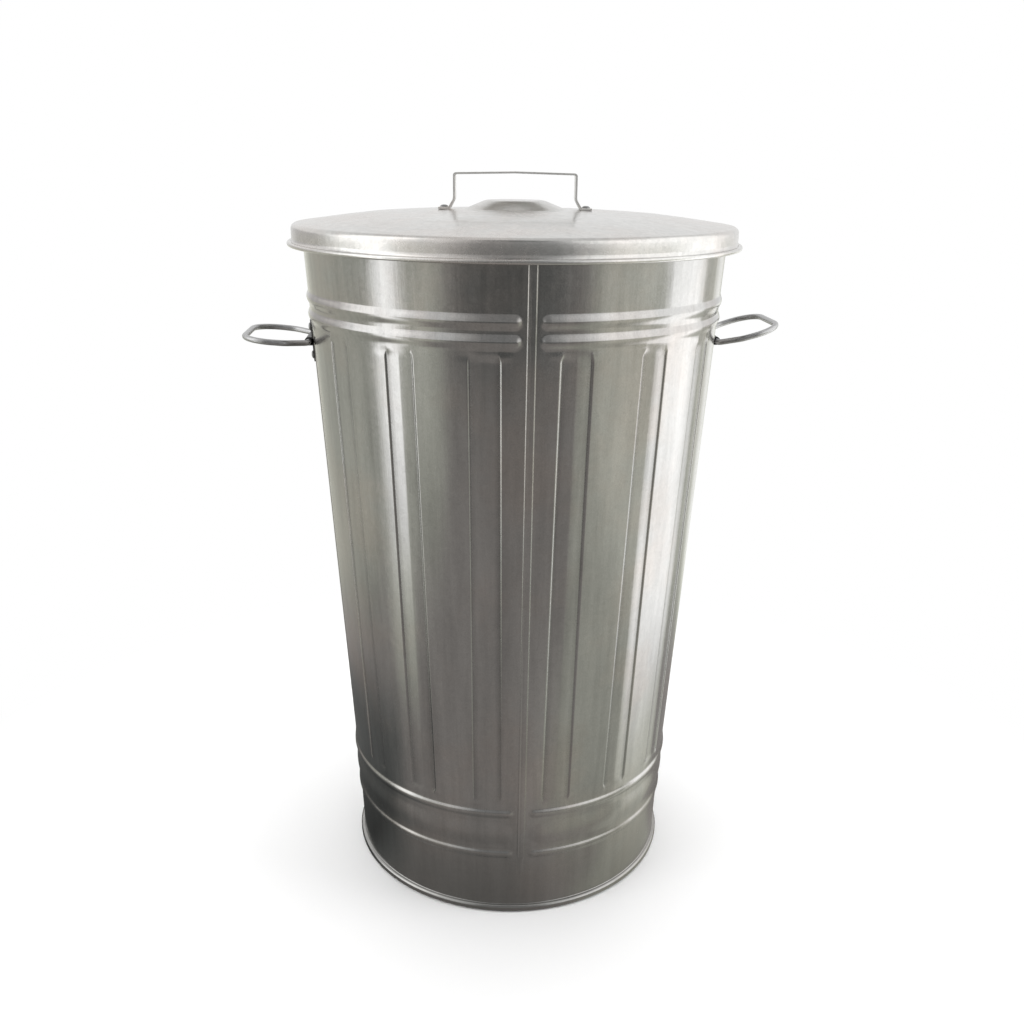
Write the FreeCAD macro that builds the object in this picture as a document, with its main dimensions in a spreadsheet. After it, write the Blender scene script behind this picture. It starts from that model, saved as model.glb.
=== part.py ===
import FreeCAD, Part
import math
import os

import Sketcher
from FreeCAD import Placement, Rotation, Vector

# A 75 litre galvanized bin: a tapered sheet barrel with a lock seam, pressed beads and flutes,
# a wired rim and a rolled foot, two wire loops in riveted straps, and a loose crowned lid.
# Origin: centre of the ring the bin stands on.  +Z up, lock seam at -Y, wire loops at -X and +X.

doc = FreeCAD.newDocument("Bin")
sheet = doc.addObject("Spreadsheet::Sheet", "Sizes")

SIZES = {
    # barrel
    "sheet_thickness": 0.8,
    "foot_radius": 169.5,          # outside of the cone, carried down to the floor
    "mouth_radius": 210.6,         # outside of the cone at the top of the rim
    "rim_height": 689.3,
    "rim_wire_diameter": 5.5,
    "fold_gap": 0.3,               # air left inside curls and folds
    "rim_curl_run": 30.0,          # height of the plain stretch that carries the curl
    "rim_curl_tail": 2.0,          # flat end of the curl, below the wire
    "rim_seam_gap": 1.0,           # from the top of the seam to the curl
    # foot
    "band_height": 71.0,           # below this the wall is a little steeper
    "band_flare": 1.9,             # how much wider the foot is than the cone
    "foot_roll_height": 7.5,
    "foot_roll_reach": 3.9,        # how far the roll stands out of the wall
    "foot_roll_radius": 2.8,       # its corners; it is hammered flat below
    # lock seam
    "seam_width": 8.0,
    "seam_rise": 1.3,
    "seam_foot_height": 58.0,
    "seam_line_width": 2.0,        # the hammered-down end of the seam
    "seam_line_rise": 0.4,
    # flutes
    "flute_count": 16,
    "flute_width": 30.5,
    "flute_depth": 1.4,
    "flute_step": 2.6,             # width of the sloping edge of a flute
    "flute_crease_depth": 0.3,     # depth left at the crease on the centre line
    "flute_foot_gap": 12.0,        # from the middle of bead three to the flutes
    "flute_top_gap": 10.5,         # from the flutes to the middle of bead two
    "flute_run_out": 11.0,
    "flute_end_share": 0.62,       # width of a flute's end against its full width
    # beads, numbered from the top
    "bead_end_gap": 5.0,           # from the seam's edge to the bead's end
    "bead_one_drop": 68.8,         # below the top of the rim
    "bead_one_width": 12.5,
    "bead_one_rise": 2.1,
    "bead_two_drop": 85.8,
    "bead_two_width": 12.5,
    "bead_two_rise": 2.1,
    "bead_three_height": 121.0,
    "bead_three_width": 10.0,
    "bead_three_rise": 1.4,
    "bead_four_height": 96.0,
    "bead_four_width": 27.0,
    "bead_four_rise": 1.7,
    "bead_five_height": 71.0,
    "bead_five_width": 10.0,
    "bead_five_rise": 1.5,
    # bottom pan
    "pan_height": 18.0,            # top of the flat edge of the pan above the floor
    "pan_corner_radius": 6.0,
    "pan_gutter_width": 30.3,      # from the wall to the edge of the raised panel
    "pan_panel_rise": 2.5,
    "pan_flange_reach": 2.6,
    "pan_flange_height": 3.3,
    # wire loops and their straps
    "hinge_drop": 17.5,            # below the top of the flutes
    "hinge_stand_off": 3.4,        # from the wall to the axis of the wire
    "loop_wire_diameter": 5.8,
    "loop_reach": 62.5,
    "loop_width": 104.0,
    "loop_corner_radius": 27.0,
    "loop_shoulder_reach": 21.0,
    "loop_shoulder_width": 94.0,
    "loop_shoulder_radius": 18.0,
    "loop_neck_gap": 10.0,         # from the end of the strap's bulge to the wire's bend
    "loop_neck_radius": 8.0,
    "loop_end_gap": 2.0,
    "left_loop_tilt": 5.5,
    "right_loop_tilt": 16.5,
    "barrel_clearance": 0.1,
    "strap_thickness": 1.2,
    "strap_height": 42.0,
    "strap_width": 50.0,
    "strap_corner_radius": 7.0,
    "barrel_end_gap": 2.0,         # from the strap's side edge to the end of its bulge
    "strap_web_depth": 12.0,       # how far the bulge is carried back into the wall
    "seat_gap": 0.05,              # paint-thin gap between a fitted piece and the sheet
    # rivets
    "rivet_diameter": 4.0,
    "rivet_clearance": 0.05,
    "rivet_head_diameter": 8.0,
    "rivet_head_height": 2.0,
    "rivet_edge_height": 0.7,      # upright edge of the head
    "rivet_shoulder_share": 0.74,  # width of the head's shoulder and its flat top against
    "rivet_top_share": 0.36,       # the whole head
    "rivet_tail_diameter": 6.4,
    "rivet_tail_height": 1.3,
    "washer_diameter": 10.0,
    "washer_thickness": 0.8,
    "strap_rivet_row_gap": 7.0,    # from the rivets to the strap's upper and lower edge
    "strap_rivet_side_gap": 8.0,   # from the rivets to its side edges
    # lid
    "lid_seat_gap": 0.45,
    "lid_clearance": 2.4,          # between the rolled rim and the inside of the skirt
    "lid_skirt_depth": 20.0,       # from the rim down to the hem
    "lid_corner_radius": 5.0,
    "lid_hem_reach": 4.5,
    "lid_hem_height": 4.2,
    "lid_hem_radius": 1.9,
    "crown_edge_slope": 0.14,
    "crown_middle_radius": 150.0,
    "crown_middle_slope": 0.044,
    "crown_top_radius": 62.0,
    "crown_bend_radius": 600.0,
    "crown_top_bend_radius": 300.0,
    "dome_foot_radius": 51.0,
    "dome_foot_bend": 9.0,
    "dome_shoulder_radius": 29.0,
    "dome_shoulder_bend": 16.0,
    "dome_rise": 8.8,
    "dome_crown_rise": 0.7,
    # lid handle
    "lid_turn": -4.3,              # the lid lies a little turned on the can
    "grip_span": 122.0,            # outside of the legs
    "grip_rise": 34.6,             # underside of the feet to the top of the strip
    "grip_arch": 1.3,
    "grip_thickness": 1.8,
    "grip_width": 24.0,
    "grip_corner_radius": 3.0,
    "grip_knee_radius": 5.0,
    "grip_foot_reach": 15.0,       # how far a foot stands out of its leg
    "grip_foot_bend": 1.0,         # inside of the bend above the foot
    "grip_rivet_gap": 5.5,         # from the rivet to the end of its foot
    "grip_splay": 4.2,
    "grip_splay_height": 9.5,
}

for row, (alias, number) in enumerate(SIZES.items(), start=1):
    sheet.set("A%d" % row, alias)
    sheet.set("B%d" % row, str(number))
    sheet.setAlias("B%d" % row, alias)
doc.recompute()


class Size:
    # A number together with the sheet formula that gives it, so that one line of arithmetic
    # serves both the geometry computed here and the expressions bound to it.
    def __init__(self, number, formula):
        self.number = number
        self.formula = formula

    def __float__(self):
        return float(self.number)

    def __add__(self, other):
        return joined(self, "+", other)

    def __radd__(self, other):
        return joined(other, "+", self)

    def __sub__(self, other):
        return joined(self, "-", other)

    def __rsub__(self, other):
        return joined(other, "-", self)

    def __mul__(self, other):
        return joined(self, "*", other)

    def __rmul__(self, other):
        return joined(other, "*", self)

    def __truediv__(self, other):
        return joined(self, "/", other)

    def __neg__(self):
        return joined(0, "-", self)


def asSize(value):
    return value if isinstance(value, Size) else Size(float(value), repr(float(value)))


def joined(left, sign, right):
    left = asSize(left)
    right = asSize(right)
    results = {
        "+": left.number + right.number,
        "-": left.number - right.number,
        "*": left.number * right.number,
        "/": left.number / right.number if right.number else 0.0,
    }
    return Size(results[sign], "(%s %s %s)" % (left.formula, sign, right.formula))


def size(alias):
    return Size(float(sheet.get(alias)), "Sizes.%s" % alias)


def bind(thing, name, value):
    value = asSize(value)
    if hasattr(thing, name):
        setattr(thing, name, float(value))
    thing.setExpression(name, value.formula)


# ---- sizes that several pieces share -------------------------------------------------------

thickness = size("sheet_thickness")
foldGap = size("fold_gap")
seatGap = size("seat_gap")
rimHeight = size("rim_height")
taper = (size("mouth_radius") - size("foot_radius")) / rimHeight
coneAngle = math.degrees(math.atan(float(taper)))


def wallRadius(height):
    return size("foot_radius") + taper * height


rimCurlRadius = size("rim_wire_diameter") / 2 + foldGap + thickness
rimCentreHeight = rimHeight - rimCurlRadius
rimCentreRadius = wallRadius(rimCentreHeight) - thickness + rimCurlRadius
bandFootRadius = size("foot_radius") + size("band_flare")
beadHeights = {
    "one": rimHeight - size("bead_one_drop"),
    "two": rimHeight - size("bead_two_drop"),
    "three": size("bead_three_height"),
    "four": size("bead_four_height"),
    "five": size("bead_five_height"),
}
fluteFoot = beadHeights["three"] + size("flute_foot_gap")
fluteTop = beadHeights["two"] - size("flute_top_gap")
hingeHeight = fluteTop - size("hinge_drop")
hingeRadius = wallRadius(hingeHeight) + size("hinge_stand_off")
boreRadius = size("loop_wire_diameter") / 2 + size("barrel_clearance")
barrelLength = size("strap_width") - size("barrel_end_gap") * 2
rivetHoleRadius = size("rivet_diameter") / 2 + size("rivet_clearance")
gripRivetReach = size("grip_span") / 2 + size("grip_foot_reach") - size("grip_rivet_gap")
SEAM_ANGLE = -90.0
UP = Vector(0, 0, 1)
SIDES = {"left": 180.0, "right": 0.0}
SEAM_BEVEL_SHARE = 0.6             # of the seam's rise, taken off its two edges


# ---- drawing helpers -----------------------------------------------------------------------

def roundedOutline(corners):
    # corners are (across, up, radius); the result is a list of straight and round stretches
    points = [Vector(float(a), float(b), 0) for a, b, _ in corners]
    radii = [float(c[2]) for c in corners]
    count = len(points)
    starts = list(points)
    ends = list(points)
    middles = [None] * count
    for i in range(count):
        if radii[i] <= 0:
            continue
        back = (points[i - 1] - points[i]).normalize()
        ahead = (points[(i + 1) % count] - points[i]).normalize()
        half = back.getAngle(ahead) / 2
        reach = radii[i] / math.tan(half)
        bisector = (back + ahead).normalize()
        centre = points[i] + bisector * (radii[i] / math.sin(half))
        starts[i] = points[i] + back * reach
        ends[i] = points[i] + ahead * reach
        middles[i] = (centre, centre - bisector * radii[i])
    return points, starts, ends, middles


def revolvedRing(corners):
    # a ring about the Z axis from a closed outline in the XZ plane
    points, starts, ends, middles = roundedOutline(corners)
    edges = []
    count = len(points)
    for i in range(count):
        if middles[i]:
            edges.append(Part.Arc(upright(starts[i]), upright(middles[i][1]), upright(ends[i])).toShape())
        following = starts[(i + 1) % count]
        if ends[i].distanceToPoint(following) > 1e-6:
            edges.append(Part.LineSegment(upright(ends[i]), upright(following)).toShape())
    face = Part.Face(Part.Wire(edges))
    return face.revolve(Vector(0, 0, 0), Vector(0, 0, 1), 360)


def upright(point):
    return Vector(point.x, 0, point.y)


def originPlane(body, role):
    for feature in body.Origin.OriginFeatures:
        if feature.Role == role:
            return feature


def newBody(name):
    body = doc.addObject("PartDesign::Body", name)
    body.Label = name
    return body


def newSketch(body, name, role):
    sketch = body.newObject("Sketcher::SketchObject", name)
    sketch.AttachmentSupport = (originPlane(body, role), [""])
    sketch.MapMode = "FlatFace"
    return sketch


def place(sketch, geometry, end, across, up):
    # holds one point of the sketch at a place given from the sketch's origin
    for kind, value, axis in (("DistanceX", across, -2), ("DistanceY", up, -1)):
        value = asSize(value)
        if value.formula == "0.0":
            sketch.addConstraint(Sketcher.Constraint("PointOnObject", geometry, end, axis))
            continue
        number = sketch.addConstraint(Sketcher.Constraint(kind, -1, 1, geometry, end, value.number))
        sketch.setExpression("Constraints[%d]" % number, value.formula)


def drawOutline(sketch, corners, closed=True):
    # straight stretches between the corners, each corner rounded by an arc tangent to both
    points, starts, ends, middles = roundedOutline(corners)
    count = len(points)
    stretches = count if closed else count - 1
    lines = []
    for i in range(stretches):
        line = Part.LineSegment(ends[i], starts[(i + 1) % count])
        lines.append(sketch.addGeometry(line, False))
    for i in range(count):
        across, up, radius = corners[i]
        isEnd = not closed and i in (0, count - 1)
        if isEnd:
            place(sketch, lines[0] if i == 0 else lines[-1], 1 if i == 0 else 2, across, up)
            continue
        before = lines[i - 1]
        after = lines[i]
        if not middles[i]:
            sketch.addConstraint(Sketcher.Constraint("Coincident", before, 2, after, 1))
            place(sketch, after, 1, across, up)
            continue
        corner = sketch.addGeometry(Part.Point(points[i]), True)
        place(sketch, corner, 1, across, up)
        sketch.addConstraint(Sketcher.Constraint("PointOnObject", corner, 1, before))
        sketch.addConstraint(Sketcher.Constraint("PointOnObject", corner, 1, after))
        arc = sketch.addGeometry(Part.Arc(starts[i], middles[i][1], ends[i]), False)
        leftTurn = (points[i] - starts[i]).cross(ends[i] - points[i]).z > 0
        first, last = (1, 2) if leftTurn else (2, 1)
        sketch.addConstraint(Sketcher.Constraint("Tangent", before, 2, arc, first))
        sketch.addConstraint(Sketcher.Constraint("Tangent", after, 1, arc, last))
        number = sketch.addConstraint(Sketcher.Constraint("Radius", arc, float(radius)))
        sketch.setExpression("Constraints[%d]" % number, asSize(radius).formula)


def revolution(body, name, corners):
    sketch = newSketch(body, name + "Outline", "XZ_Plane")
    drawOutline(sketch, corners)
    feature = body.newObject("PartDesign::Revolution", name)
    feature.Profile = sketch
    feature.ReferenceAxis = (sketch, ["V_Axis"])
    feature.Angle = 360
    doc.recompute()
    return feature


def drilled(body, name, radius, across, depth):
    # a hole parallel to the Z axis, as deep above the XY plane as below it
    hole = body.newObject("PartDesign::SubtractiveCylinder", name)
    bind(hole, "Radius", radius)
    bind(hole, "Height", depth * 2)
    hole.Placement.Base = Vector(float(across), 0, -float(depth))
    hole.setExpression("Placement.Base.z", (-depth).formula)
    hole.setExpression("Placement.Base.x", asSize(across).formula)
    doc.recompute()
    return hole


def onWall(angle, height, lift=0.0):
    # a place on the outside of the barrel whose own Z axis is square to the sheet
    radius = float(wallRadius(height))
    turn = Rotation(Vector(0, 0, 1), angle) * Rotation(Vector(0, 1, 0), 90 + coneAngle)
    outward = turn.multVec(Vector(0, 0, 1))
    foot = Rotation(Vector(0, 0, 1), angle).multVec(Vector(radius, 0, float(height)))
    return Placement(foot + outward * lift, turn)


# ---- barrel --------------------------------------------------------------------------------

UPPER_BEADS = ("one", "two")
LOWER_BEADS = ("three", "four", "five")


def polar(radius, angle, height):
    turn = math.radians(angle)
    return Vector(radius * math.cos(turn), radius * math.sin(turn), height)


def arcEdge(radius, first, last, height):
    middle = (first + last) / 2
    return Part.Arc(*[polar(radius, a, height) for a in (first, middle, last)]).toShape()


def flutedSection(height, share, pressed, inset):
    # one closed outline of the barrel: plain arcs between the flutes, and in each flute two
    # sloping edges and two flats that rise to a crease on its centre line
    radius = float(wallRadius(height)) - inset
    count = int(size("flute_count").number)
    pitch = 360.0 / count
    half = math.degrees(float(size("flute_width")) / 2 * share / radius)
    step = math.degrees(float(size("flute_step")) * share / radius)
    depth = float(size("flute_depth")) if pressed else 0.0
    crease = float(size("flute_crease_depth")) if pressed else 0.0
    edges = []
    for k in range(count):
        centre = SEAM_ANGLE + (k + 0.5) * pitch
        stations = ((-half, 0.0), (step - half, depth), (0.0, crease), (half - step, depth), (half, 0.0))
        for (a, da), (b, db) in zip(stations, stations[1:]):
            if pressed:
                start = polar(radius - da, centre + a, height)
                end = polar(radius - db, centre + b, height)
                edges.append(Part.LineSegment(start, end).toShape())
            else:
                edges.append(arcEdge(radius, centre + a, centre + b, height))
        edges.append(arcEdge(radius, centre + half, centre + pitch - half, height))
    return Part.Wire(edges)


def flutedZone():
    low = float(fluteFoot)
    high = float(fluteTop)
    run = float(size("flute_run_out"))
    share = float(size("flute_end_share"))
    stations = ((low, share, False), (low + run, 1.0, True), (high - run, 1.0, True), (high, share, False))
    shells = []
    for inset in (0.0, float(thickness)):
        wires = [flutedSection(z, width, pressed, inset) for z, width, pressed in stations]
        shells.append(Part.makeLoft(wires, True, True))
    return shells[0].cut(shells[1])


def beadTool(name, inset):
    # a bead is a thick ring whose tube cuts through the sheet, ended by balls of the same radius
    height = float(beadHeights[name])
    half = float(size("bead_%s_width" % name)) / 2
    rise = float(size("bead_%s_rise" % name))
    tube = (half * half + rise * rise) / (2 * rise)
    ringRadius = float(wallRadius(height)) + rise - tube
    wall = float(wallRadius(height))
    clear = float(size("seam_width")) / 2 + float(size("bead_end_gap")) + half
    gap = math.degrees(clear / wall)
    middle = Vector(0, 0, height)
    ring = Part.makeTorus(ringRadius, tube - inset, middle, UP, 0, 360, 360 - 2 * gap)
    ring.rotate(Vector(0, 0, 0), Vector(0, 0, 1), SEAM_ANGLE + gap)
    balls = []
    for side in (-1, 1):
        centre = polar(ringRadius, SEAM_ANGLE + side * gap, height)
        balls.append(Part.makeSphere(tube - inset, centre))
    margin = half + rise
    slab = Part.makeCylinder(wall + 2 * rise, 2 * margin, Vector(0, 0, height - margin))
    return ring.fuse(balls).common(slab)


def beadedZone(low, high, radiusLow, radiusHigh, names):
    # a plain conical stretch of the sheet with its beads pressed out
    t = float(thickness)
    outside = Part.makeCone(radiusLow, radiusHigh, high - low, Vector(0, 0, low))
    inside = Part.makeCone(radiusLow - t, radiusHigh - t, high - low, Vector(0, 0, low))
    outside = outside.fuse([beadTool(name, 0.0) for name in names])
    inside = inside.fuse([beadTool(name, t) for name in names])
    return outside.cut(inside)


def rimCurl(low):
    # the sheet goes up, over the wire and back under it
    t = float(thickness)
    curl = float(rimCurlRadius)
    top = float(rimHeight)
    inner = float(rimCentreRadius) - curl
    outer = inner + 2 * curl
    tail = float(rimCentreRadius) - float(size("rim_curl_tail"))
    lowRadius = float(wallRadius(low))
    corners = [
        (lowRadius - t, low, 0),
        (inner, top - curl, 0),
        (inner, top, curl),
        (outer, top, curl),
        (outer, top - 2 * curl, curl),
        (tail, top - 2 * curl, 0),
        (tail, top - 2 * curl + t, 0),
        (outer - t, top - 2 * curl + t, curl - t),
        (outer - t, top - t, curl - t),
        (inner + t, top - t, curl - t),
        (inner + t, top - curl, 0),
        (lowRadius, low, 0),
    ]
    return revolvedRing(corners)


def footRoll(high):
    # the sheet turns out and under, and its edge comes up again inside
    t = float(thickness)
    wall = float(bandFootRadius)
    outer = wall + float(size("foot_roll_reach"))
    top = float(size("foot_roll_height"))
    bend = float(size("foot_roll_radius"))
    inner = outer - top
    corners = [
        (wall, high, 0),
        (wall, top, t),
        (outer, top, bend),
        (outer, 0, bend),
        (inner, 0, bend),
        (inner, top / 2, 0),
        (inner + t, top / 2, 0),
        (inner + t, t, bend - t),
        (outer - t, t, bend - t),
        (outer - t, top - t, bend - t),
        (wall - t, top - t, 2 * t),
        (wall - t, high, 0),
    ]
    return revolvedRing(corners)


def seamStrip(low, high, width, rise):
    # the folded seam lies on the outside of the sheet as a low flat ridge
    sections = []
    for height in (low, high):
        radius = wallSurface(height)
        foot = radius - float(thickness) / 2
        top = radius + rise
        half = width / 2
        bevel = min(rise, half) * SEAM_BEVEL_SHARE
        outline = ((-half, foot), (-half, top - bevel), (bevel - half, top), (half - bevel, top),
                   (half, top - bevel), (half, foot))
        points = [Vector(x, -y, height) for x, y in outline]
        sections.append(Part.makePolygon(points + points[:1]))
    return Part.makeLoft(sections, True, True)


def wallSurface(height):
    # outside radius of the sheet, straight below the foot band's top and conical above
    band = float(size("band_height"))
    if height >= band:
        return float(wallRadius(height))
    top = float(wallRadius(band))
    bottom = float(bandFootRadius)
    start = float(size("foot_roll_height")) * 2
    return bottom + (top - bottom) * max(0.0, height - start) / (band - start)


def strapRivets(turn):
    # angle and height of the four rivets of one strap
    across = size("strap_width") / 2 - size("strap_rivet_side_gap")
    spread = math.degrees(float(across / wallRadius(hingeHeight)))
    rise = float(size("strap_height") / 2 - size("strap_rivet_row_gap"))
    return [(turn + a * spread, float(hingeHeight) + b * rise) for a in (-1, 1) for b in (-1, 1)]


def wallCone(low, high, inset):
    # what the sheet's outside encloses between two heights, or its inside when inset by its thickness
    return Part.makeCone(wallSurface(low) - inset, wallSurface(high) - inset, high - low, Vector(0, 0, low))


def barrelWall():
    band = float(size("band_height"))
    bandFoot = float(size("foot_roll_height")) * 2
    low = float(fluteFoot)
    high = float(fluteTop)
    roll = footRoll(bandFoot)
    t = float(thickness)
    bandOutside = wallCone(bandFoot, band, 0.0)
    bandInside = wallCone(bandFoot, band, t)
    coneOutside = wallCone(band, low, 0.0)
    coneInside = wallCone(band, low, t)
    outside = bandOutside.fuse([coneOutside] + [beadTool(name, 0.0) for name in LOWER_BEADS])
    inside = bandInside.fuse([coneInside] + [beadTool(name, t) for name in LOWER_BEADS])
    lower = outside.cut(inside)
    curlFoot = float(rimHeight - size("rim_curl_run"))
    upper = beadedZone(high, curlFoot, wallSurface(high), wallSurface(curlFoot), UPPER_BEADS)
    curl = rimCurl(curlFoot)
    wall = lower.fuse([roll, flutedZone(), upper, curl])
    seamFoot = float(size("seam_foot_height"))
    seamTop = float(rimHeight - 2 * rimCurlRadius - size("rim_seam_gap"))
    strips = [
        seamStrip(band, seamTop, float(size("seam_width")), float(size("seam_rise"))),
        seamStrip(seamFoot, band, float(size("seam_width")), float(size("seam_rise"))),
        seamStrip(bandFoot, seamFoot, float(size("seam_line_width")), float(size("seam_line_rise"))),
    ]
    wall = wall.fuse(strips)
    depth = float(size("seam_width"))
    holes = []
    for turn in SIDES.values():
        for angle, height in strapRivets(turn):
            hole = Part.makeCylinder(float(rivetHoleRadius), 2 * depth, Vector(0, 0, -depth))
            hole.Placement = onWall(angle, height)
            holes.append(hole)
    wall = wall.cut(holes)
    return wall


# ---- bottom pan ----------------------------------------------------------------------------

def bottomPan():
    # a flat disc with a raised panel; its edge turns down inside the wall and out into the roll
    body = newBody("bottom_pan")
    panHeight = size("pan_height")
    inside = bandFootRadius - thickness - foldGap
    panel = inside - size("pan_gutter_width")
    rise = size("pan_panel_rise")
    flange = size("pan_flange_height")
    t = thickness
    bend = size("pan_corner_radius")
    step = rise * 2
    revolution(body, "PanSheet", [
        (inside, flange, 0),
        (inside, panHeight, bend),
        (panel + step, panHeight, step + t),
        (panel, panHeight + rise, step),
        (0, panHeight + rise, 0),
        (0, panHeight + rise - t, 0),
        (panel, panHeight + rise - t, step - t),
        (panel + step, panHeight - t, step),
        (inside - t, panHeight - t, bend - t),
        (inside - t, flange, 0),
    ])
    revolution(body, "PanFlange", [
        (inside - thickness, flange - thickness, 0),
        (inside + size("pan_flange_reach"), flange - thickness, 0),
        (inside + size("pan_flange_reach"), flange, 0),
        (inside - thickness, flange, 0),
    ])
    return body


# ---- lid -----------------------------------------------------------------------------------
# The lid is drawn from the plane of the rim's top and then lifted to it.

crownSlope = size("crown_edge_slope")
skirtRadius = rimCentreRadius + rimCurlRadius + size("lid_clearance") + thickness
crownEdge = size("lid_seat_gap") + thickness - crownSlope * (skirtRadius - rimCentreRadius)
crownMiddle = crownEdge + crownSlope * (skirtRadius - size("crown_middle_radius"))
crownRun = size("crown_middle_radius") - size("crown_top_radius")
crownTop = crownMiddle + size("crown_middle_slope") * crownRun


def crownHeight(across):
    # height of the lid's upper face outside the flat top, before its bends are rounded
    middle = size("crown_middle_radius")
    if float(across) > float(middle):
        return crownEdge + crownSlope * (skirtRadius - across)
    return crownMiddle + size("crown_middle_slope") * (middle - across)


gripFoot = crownHeight(size("grip_span") / 2 + size("grip_splay")) + seatGap
gripTop = gripFoot + size("grip_rise")


def lidShell():
    body = newBody("lid_shell")
    hem = -size("lid_skirt_depth")
    hemTop = hem + size("lid_hem_height")
    domeTop = crownTop + size("dome_rise")
    t = thickness
    corner = size("lid_corner_radius")
    middle = size("crown_middle_radius")
    top = size("crown_top_radius")
    domeFoot = size("dome_foot_radius")
    shoulder = size("dome_shoulder_radius")
    crest = domeTop + size("dome_crown_rise")
    revolution(body, "LidSheet", [
        (skirtRadius, hemTop, 0),
        (skirtRadius, crownEdge, corner),
        (middle, crownMiddle, size("crown_bend_radius")),
        (top, crownTop, size("crown_top_bend_radius")),
        (domeFoot, crownTop, size("dome_foot_bend")),
        (shoulder, domeTop, size("dome_shoulder_bend")),
        (0, crest, 0),
        (0, crest - t, 0),
        (shoulder, domeTop - t, size("dome_shoulder_bend") - t),
        (domeFoot, crownTop - t, size("dome_foot_bend") + t),
        (top, crownTop - t, size("crown_top_bend_radius") - t),
        (middle, crownMiddle - t, size("crown_bend_radius") - t),
        (skirtRadius - t, crownEdge - t, corner - t),
        (skirtRadius - t, hemTop, 0),
    ])
    inner = skirtRadius - thickness
    outer = skirtRadius + size("lid_hem_reach")
    bend = size("lid_hem_radius")
    revolution(body, "LidHem", [
        (inner, hemTop, 0),
        (inner, hem, bend),
        (outer, hem, bend),
        (outer, hemTop, bend),
        (skirtRadius + foldGap, hemTop, 0),
        (skirtRadius + foldGap, hemTop - thickness, 0),
        (outer - thickness, hemTop - thickness, bend - thickness),
        (outer - thickness, hem + thickness, bend - thickness),
        (skirtRadius, hem + thickness, bend - thickness),
        (skirtRadius, hemTop, 0),
    ])
    for side, name in ((-1, "LidHoleLeft"), (1, "LidHoleRight")):
        drilled(body, name, rivetHoleRadius, side * gripRivetReach, gripTop)
    return body


def lidHandle():
    # a bent strip: two feet on the crown, splayed shanks, upright legs and a slightly arched bar
    body = newBody("lid_handle")
    t = size("grip_thickness")
    leg = size("grip_span") / 2
    splayed = leg + size("grip_splay")
    end = leg + size("grip_foot_reach")
    bend = size("grip_corner_radius")
    kneeBend = size("grip_knee_radius")
    footBend = size("grip_foot_bend")
    lean = size("grip_splay") / size("grip_splay_height")
    half = t / 2
    knee = gripFoot + size("grip_splay_height")
    arch = gripTop + size("grip_arch")
    lower = gripFoot
    upper = gripFoot + t
    right = [
        (leg - t, gripTop - t, bend - t),
        (leg - t, knee, kneeBend),
        (splayed - half, lower, footBend + t),
        (end, lower, 0),
        (end, upper, 0),
        (splayed + half, upper, footBend),
        (leg, knee + lean * half, kneeBend + t),
        (leg, gripTop, bend),
    ]
    left = [(-across, up, radius) for across, up, radius in reversed(right)]
    sketch = newSketch(body, "GripOutline", "XZ_Plane")
    drawOutline(sketch, [(0, arch - t, 0)] + right + [(0, arch, 0)] + left)
    sketch.AttachmentOffset = Placement(Vector(0, 0, -float(size("grip_width")) / 2), Rotation())
    sketch.setExpression("AttachmentOffset.Base.z", (-(size("grip_width") / 2)).formula)
    strip = body.newObject("PartDesign::Pad", "GripStrip")
    strip.Profile = sketch
    bind(strip, "Length", size("grip_width"))
    doc.recompute()
    for side, name in ((-1, "GripHoleLeft"), (1, "GripHoleRight")):
        drilled(body, name, rivetHoleRadius, side * gripRivetReach, gripTop)
    return body


# ---- rivets and washers --------------------------------------------------------------------

def rivetMaster(name, grip):
    # head on top of Z = 0, shank through what it holds, clinched tail below
    body = newBody(name)
    shank = size("rivet_diameter") / 2
    head = size("rivet_head_diameter") / 2
    tail = size("rivet_tail_diameter") / 2
    headHeight = size("rivet_head_height")
    edge = size("rivet_edge_height")
    shoulder = (edge + headHeight * 2) / 3
    tailEnd = -(grip + size("rivet_tail_height"))
    revolution(body, name + "Turned", [
        (0, tailEnd, 0),
        (tail * size("rivet_shoulder_share"), tailEnd, 0),
        (tail, (tailEnd - grip) / 2, 0),
        (tail, -grip, 0),
        (shank, -grip, 0),
        (shank, 0, 0),
        (head, 0, 0),
        (head, edge, 0),
        (head * size("rivet_shoulder_share"), shoulder, 0),
        (head * size("rivet_top_share"), headHeight, 0),
        (0, headHeight, 0),
    ])
    return body


def washerMaster():
    body = newBody("washer_master")
    outer = size("washer_diameter") / 2
    revolution(body, "WasherTurned", [
        (rivetHoleRadius, 0, 0),
        (outer, 0, 0),
        (outer, size("washer_thickness"), 0),
        (rivetHoleRadius, size("washer_thickness"), 0),
    ])
    return body


def grouped(name, master, placements):
    # several equal pieces kept together as separate solids
    copies = []
    for spot in placements:
        copy = master.Shape.copy()
        copy.Placement = spot.multiply(copy.Placement)
        copies.append(copy)
    group = doc.addObject("Part::Feature", name)
    group.Label = name
    group.Shape = Part.makeCompound(copies)
    return group


# ---- wire loops and straps -----------------------------------------------------------------

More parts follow.
